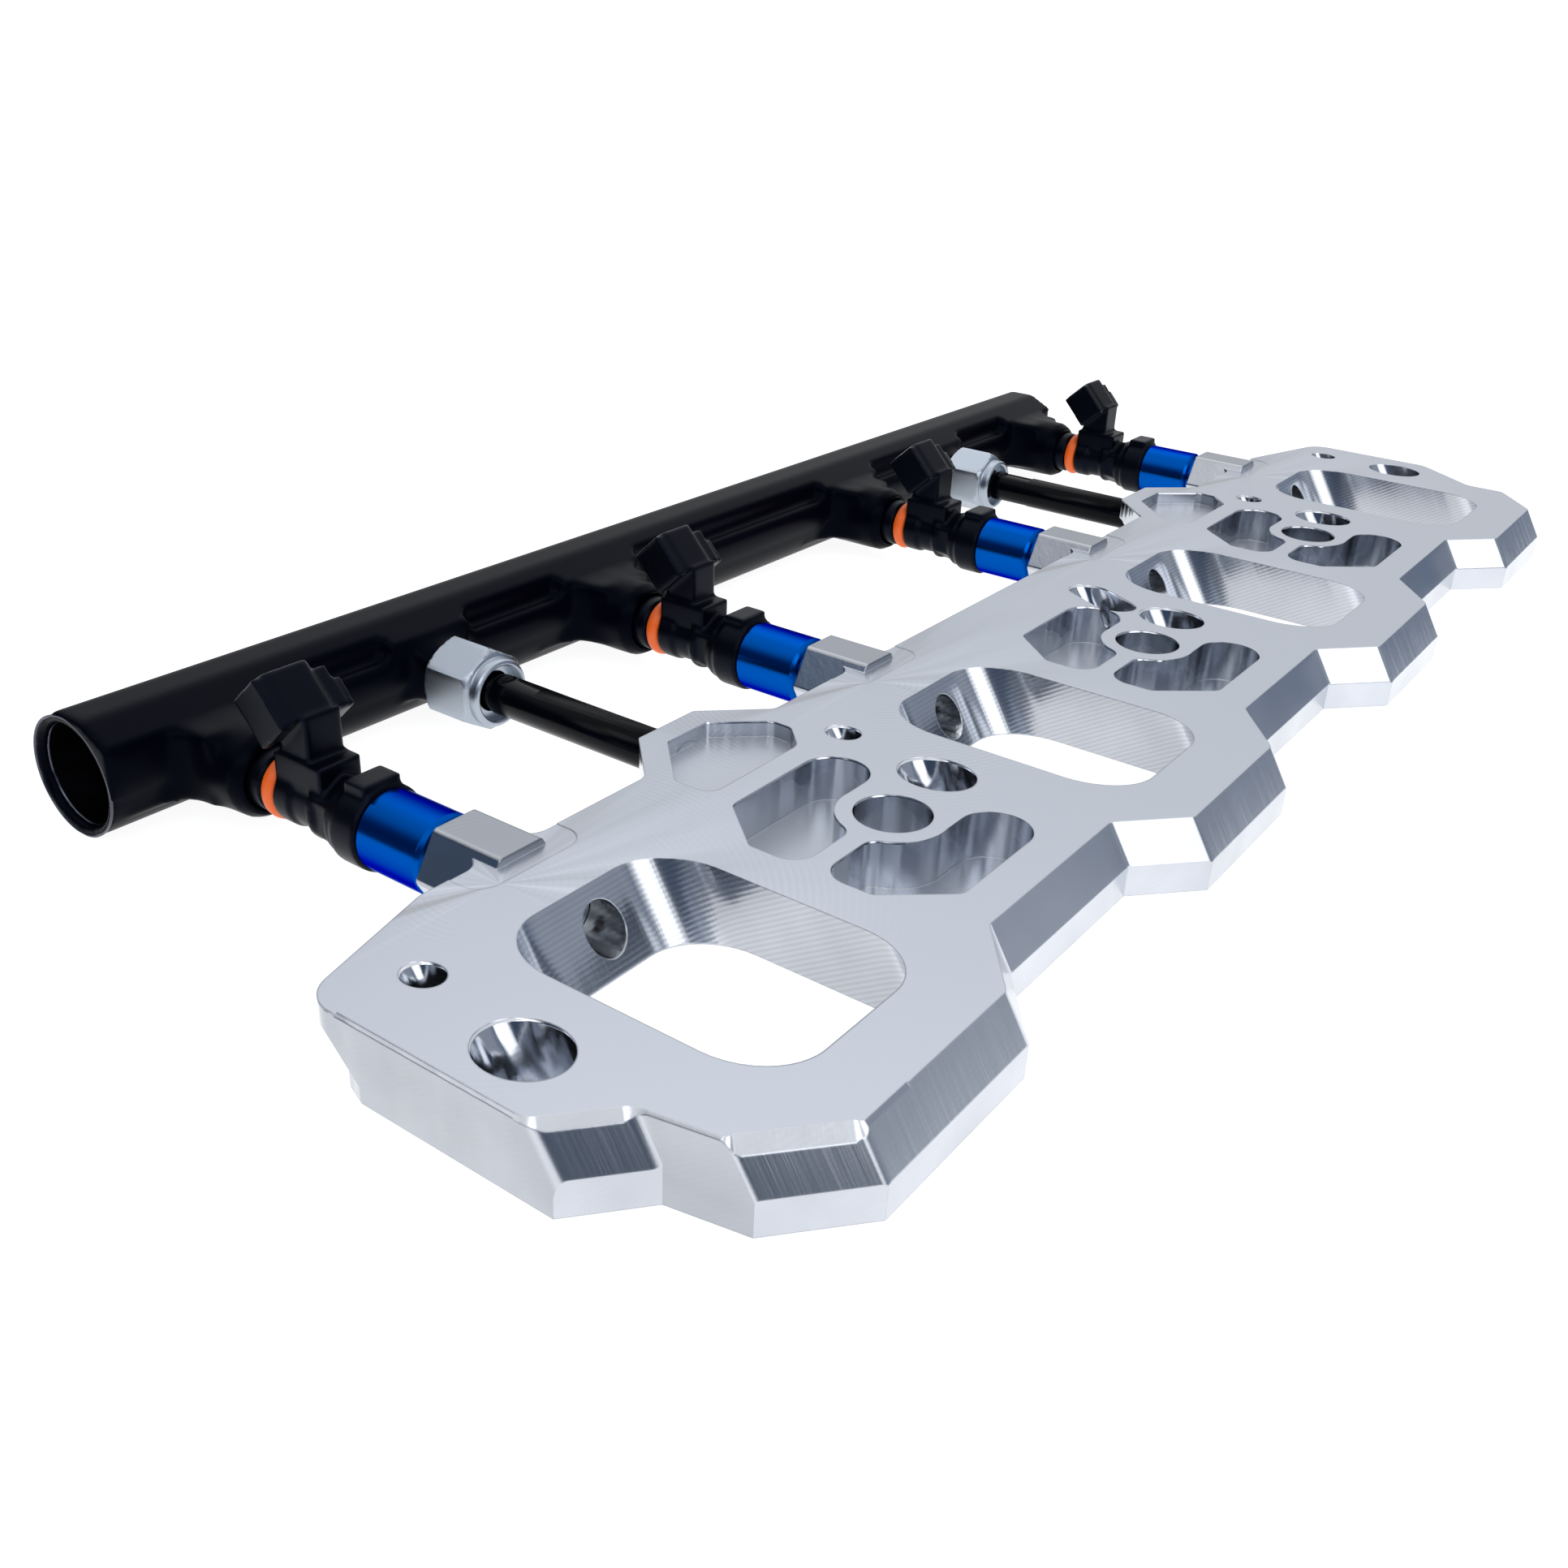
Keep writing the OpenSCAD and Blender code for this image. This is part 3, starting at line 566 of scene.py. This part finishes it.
def setNormals(mesh):
    # wide flats stay dead flat, and the fillets run smoothly into them
    limit = math.cos(math.radians(plate["sharpFrom"]))
    around = [[] for v in mesh.vertices]
    wide = []
    for face in mesh.polygons:
        corners = [mesh.vertices[i].co for i in face.vertices]
        longest = max((a - b).length for a, b in zip(corners, corners[1:] + corners[:1]))
        wide.append(face.area / max(longest, 1e-9) > plate["wideFrom"] * mm)
        for i in face.vertices:
            around[i].append(face)
    normals = [None] * len(mesh.loops)
    for face in mesh.polygons:
        for i, spot in zip(face.vertices, face.loop_indices):
            friends = [g for g in around[i] if g.normal.dot(face.normal) > limit]
            flats = [g for g in friends if wide[g.index]]
            if wide[face.index]:
                normals[spot] = face.normal.copy()
            elif flats:
                normals[spot] = max(flats, key=lambda g: g.area).normal.copy()
            else:
                normals[spot] = sum((g.normal * g.area for g in friends), Vector()).normalized()
    mesh.normals_split_custom_set(normals)


def makePlate():
    # the CAD plate with its corners merged, smooth round the fillets, with the near end's chamfers
    piece = newPiece("portPlate", mergedCopy("plate"))
    cutter = chamferCutter()
    cut = piece.modifiers.new("chamfer", "BOOLEAN")
    cut.operation, cut.object, cut.solver = "DIFFERENCE", cutter, "EXACT"
    bake(piece)
    bpy.data.objects.remove(cutter)
    shape = bmesh.new()
    shape.from_mesh(piece.data)
    angle = math.radians(plate["planeWithin"])
    bmesh.ops.dissolve_limit(shape, angle_limit=angle, verts=shape.verts, edges=shape.edges)
    low, high = [Vector(corner) for corner in plate["tabPatch"]]
    for x in strutX:
        # closes the thin wall between tab pocket and bar
        aside = Vector((x, 0, 0))
        addBox(shape, low + aside, high + aside)
    for face in shape.faces:
        face.smooth = True
    shape.to_mesh(piece.data)
    shape.free()
    setNormals(piece.data)
    placePiece(piece, finishes["plate"], ["plate"])


makePlate()
print("plate made")

strut = {
    "barFrom": 61.6,                     # y where the bar starts, just short of the tab pocket
    "nutFrom": 113.5,                    # y of the nut's end that faces the plate
    "acrossFlats": 17.0,
    # along the nut, radius: round skirt, then the hexagon with turned ends
    "outside": [(0.0, 6.9), (0.25, 7.4), (0.7, 7.7), (2.3, 7.7), (2.5, 7.8), (2.7, 8.4), (3.1, 9.0),
                (3.6, 9.5), (4.3, 9.9), (14.2, 9.9), (14.7, 9.5), (15.1, 9.1), (15.4, 8.6), (15.5, 8.2)],
    "inside": [(15.5, 4.6), (2.6, 4.6), (2.6, 6.2), (0.4, 6.3), (0.0, 6.7)],
}


def makeBar(k):
    node = "strut_bar_%d" % (k + 1)
    shape = mergedCopy(node)
    for v in shape.verts:
        v.co.y = max(v.co.y, strut["barFrom"] * mm)
    for face in shape.faces:
        face.smooth = True
    piece = newPiece("strutBar%d" % (k + 1), shape)
    piece.data.set_sharp_from_angle(angle=math.radians(30))
    placePiece(piece, finishes["strut_bar"], [node])


def makeNut(k):
    node = "strut_nut_%d" % (k + 1)
    outline = [(along, radius, True) for along, radius in strut["outside"]]
    outline += [(along, radius, False) for along, radius in strut["inside"]]

    def spot(along, across, up):
        return (strutX[k] + across, strut["nutFrom"] + along, layout["axisHeight"] + up)

    piece = turned("strutNut%d" % (k + 1), outline, spot, strut["acrossFlats"])
    placePiece(piece, finishes["strut_nut"], [node])


for k in range(2):
    makeBar(k)
print("strut bars set")

injector = {
    "shift": 2.5,                        # sideways from its port
    "collarEnd": 85.3,                   # y where the black body starts, and the forms below too
    "skin": 0.4,
    "rounds": 4,
    "lug": ((-4.4, 0.8, 5.0), (4.4, 6.6, 9.7)),
    "web": ((-4.9, 12.4, 0.0), (4.9, 25.6, 9.6)),
    "block": (9.0, 7.5, 7.0, 4.6),       # start, radii, length of the six-sided block
    "ridge": (13.8, 6.9, 1.5),
    "socketAt": (20.0, 15.3, -43),       # along the body, above its axis, tilt
    "cheek": ((-8.8, -4.5, -0.6), (-6.2, 4.5, 10.2)),
    "clip": ((5.4, -3.2, -0.4), (8.8, 3.2, 5.6)),
}


def makeInjector(k):
    # the moulded body, with the socket's cheek and clip and the forms along its back
    node = "injector_body_%d" % (k + 1)
    centre = Vector((portX[k] + injector["shift"], injector["collarEnd"], layout["axisHeight"]))
    shape = mergedCopy(node)
    for form in ("lug", "web"):
        low, high = injector[form]
        addBox(shape, centre + Vector(low), centre + Vector(high))
    start, radius1, radius2, length = injector["block"]
    addBarrel(shape, centre + Vector((0, start, 0)), radius1, radius2, length, 6)
    start, radius, length = injector["ridge"]
    addBarrel(shape, centre + Vector((0, start, 0)), radius, radius, length)
    along, above, tilt = injector["socketAt"]
    before = set(shape.verts)
    addBox(shape, *injector["cheek"])
    addBox(shape, *injector["clip"])
    socket = Matrix.Translation((centre + Vector((0, along, above))) * mm)
    socket = socket @ Matrix.Rotation(math.radians(tilt), 4, "X")
    bmesh.ops.transform(shape, matrix=socket, verts=[v for v in shape.verts if v not in before])
    piece = blended("injectorBody%d" % (k + 1), shape, injector["skin"])
    relax(piece, injector["rounds"])
    placePiece(piece, finishes["injector_body"], [node])


for k in range(4):
    makeInjector(k)
for k in range(2):
    makeNut(k)
print("injector bodies moulded, strut nuts turned")

seal = {
    "count": 4,
    "sides": 64,                         # round the ring
    "cordSides": 20,                     # round its cord
}


def sealTree():
    # one ring swept from a round cord, set out along the row of ports
    tree = bpy.data.node_groups.new("sealRings", "GeometryNodeTree")
    kinds = {
        "Count": "Int", "Pitch": "Float", "Ring Radius": "Float", "Cord Radius": "Float",
        "Start": "Vector", "Finish": "Material",
    }
    for name, kind in kinds.items():
        tree.interface.new_socket(name, in_out="INPUT", socket_type="NodeSocket" + kind)
    tree.interface.new_socket("Rings", in_out="OUTPUT", socket_type="NodeSocketGeometry")
    add = partial(addNode, tree)
    given = add("NodeGroupInput").outputs
    circle = "GeometryNodeCurvePrimitiveCircle"
    ring = add(circle, {"Resolution": seal["sides"], "Radius": given["Ring Radius"]})
    cord = add(circle, {"Resolution": seal["cordSides"], "Radius": given["Cord Radius"]})
    sweep = add("GeometryNodeCurveToMesh", {"Curve": ring, "Profile Curve": cord})
    smooth = add("GeometryNodeSetShadeSmooth", [sweep])
    upright = add("GeometryNodeTransform", {"Geometry": smooth, "Rotation": (math.pi / 2, 0.0, 0.0)})
    step = add("ShaderNodeCombineXYZ", [given["Pitch"]])
    line = {"Count": given["Count"], "Start Location": given["Start"], "Offset": step}
    row = add("GeometryNodeMeshLine", line)
    rings = add("GeometryNodeInstanceOnPoints", {"Points": row, "Instance": upright})
    real = add("GeometryNodeRealizeInstances", [rings])
    finish = add("GeometryNodeSetMaterial", {"Geometry": real, "Material": given["Finish"]})
    add("NodeGroupOutput", [finish])
    return tree


def makeSeals():
    # the orange rings between the injectors and the rail's cups
    tree = sealTree()
    low, high = [Vector(corner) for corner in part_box("upper_seal_1")]
    cordRadius = (high.y - low.y) / 2
    sizes = {
        "Count": seal["count"],
        "Pitch": layout["portPitch"] * mm,
        "Ring Radius": (high.z - low.z) / 2 - cordRadius,
        "Cord Radius": cordRadius,
        "Start": (low + high) / 2,
        "Finish": finishes["upper_seal"],
    }
    piece = newPiece("upperSeals", bmesh.new())
    rings = piece.modifiers.new("rings", "NODES")
    rings.node_group = tree
    for item in tree.interface.items_tree:
        if item.name in sizes:
            rings[item.identifier] = sizes[item.name]
    bake(piece)
    replaced = ["upper_seal_%d" % (k + 1) for k in range(seal["count"])]
    placePiece(piece, finishes["upper_seal"], replaced)


makeSeals()
print("seals set in the row")

rail = {
    "skin": 0.88,
    "rounds": 2,
    "armRounds": 10,
    "arms": (12.9, 26),                  # from the rail's axis: where the cups' arms start and end
    # mouth of each end port, from the lip inwards: depth, radius
    "mouth": [(-0.01, 12.5), (-0.01, 12.25), (0.15, 12.05), (1.8, 10.55), (2.0, 10.45), (15.2, 10.45),
              (15.4, 10.2), (15.4, 8.6), (15.6, 8.35), (40.0, 8.3), (40.2, 8.6), (40.2, 10.9),
              (2.4, 10.9), (0.4, 12.5)],
}


def makeRail():
    # the rail with its roots and corners run together, as on the machined and blasted part
    piece = blended("fuelRailSkin", mergedCopy("fuel_rail"), rail["skin"])
    near, far = [(layout["railY"] - reach) * mm for reach in rail["arms"]]
    relax(piece, rail["rounds"])
    relax(piece, rail["armRounds"], lambda spot: far < spot.y < near)
    placePiece(piece, finishes["fuel_rail"], ["fuel_rail"])


def makeMouth(k):
    # turned lining of one end: chamfered lip, bore and shoulder
    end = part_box("fuel_rail")[k][0] / mm
    inward = (1, -1)[k]
    outline = [(depth, radius, False) for depth, radius in rail["mouth"]]

    def spot(depth, across, up):
        return (end + inward * depth, layout["railY"] + across, layout["axisHeight"] + up)

    piece = turned("railMouth%d" % (k + 1), outline, spot)
    placePiece(piece, finishes["rail_bore"])


makeRail()
for k in range(2):
    makeMouth(k)
print("rail blended")

studio = {
    "floorRadius": 900,                  # mm, of the paper, and its middle
    "floorAt": (0, 50, -5.4),
    "floorGlow": 0.93,
    "paper": 1.05,                       # behind the object
    "tints": ("#8FADD8", "#FCFDFF"),     # of dim light and of bright
    "tintAt": (0.2, 0.7),
    "shade": 0.17,                       # what the dim parts of the room send back
    "softBoxes": {
        # azimuth, height, half angle that is full, half angle that is dark, brightness
        "farWindow": (30, 24, 16, 62, 0.66),
        "ceiling": (0, 90, 30, 70, 0.85),
        "rightBox": (-104, 26, 12, 22, 1.7),
        "rightWall": (-54, 6, 14, 38, 0.30),
        "backBox": (-150, 40, 6, 15, 2.0),
        "leftBox": (-176, 30, 6, 15, 1.4),
    },
}


def setWorld():
    # soft boxes in a dim blue-grey room, behind white paper
    world = bpy.data.worlds.new("studio")
    bpy.context.scene.world = world
    world.use_nodes = True
    world.node_tree.nodes.clear()
    add = partial(addNode, world.node_tree)
    way = add("ShaderNodeTexCoord").outputs["Generated"]
    level = studio["shade"]
    for azimuth, height, full, dark, brightness in studio["softBoxes"].values():
        a, h = math.radians(azimuth), math.radians(height)
        aim = (math.cos(a) * math.cos(h), math.sin(a) * math.cos(h), math.sin(h))
        towards = add("ShaderNodeVectorMath", [way, aim], operation="DOT_PRODUCT").outputs["Value"]
        rim, core = [math.cos(math.radians(angle)) for angle in (dark, full)]
        lit = add("ShaderNodeMapRange", [towards, rim, core, 0.0, brightness], **softly)
        level = add("ShaderNodeMath", [level, lit], operation="ADD")
    white = add("ShaderNodeMapRange", [level, *studio["tintAt"]], **softly)
    dim, bright = [linear(tint) for tint in studio["tints"]]
    tint = add("ShaderNodeMix", {0: white, 6: dim, 7: bright}, data_type="RGBA")
    room = add("ShaderNodeBackground", [tint.outputs[2], level])
    paper = add("ShaderNodeBackground", [(1, 1, 1, 1), studio["paper"]])
    direct = add("ShaderNodeLightPath").outputs["Is Camera Ray"]
    both = add("ShaderNodeMixShader", [direct, room, paper])
    add("ShaderNodeOutputWorld", [both])


def setFloor():
    # pale paper that glows a little, so that the object's edges stay clear of it
    shape = bmesh.new()
    place = Matrix.Translation(span(studio["floorAt"]))
    radius = studio["floorRadius"] * mm
    bmesh.ops.create_circle(shape, cap_ends=True, segments=96, radius=radius, matrix=place)
    floor = newPiece("floor", shape)
    matt = {"Specular IOR Level": 0.0}
    glow = {"Emission Color": (1, 1, 1, 1), "Emission Strength": studio["floorGlow"]}
    material = newMaterial("palePaper", "#909194", 0.0, 0.9, **matt, **glow)[0]
    floor.data.materials.append(material)


setWorld()
setFloor()
bpy.context.scene.view_settings.view_transform = "Standard"
print("studio set")
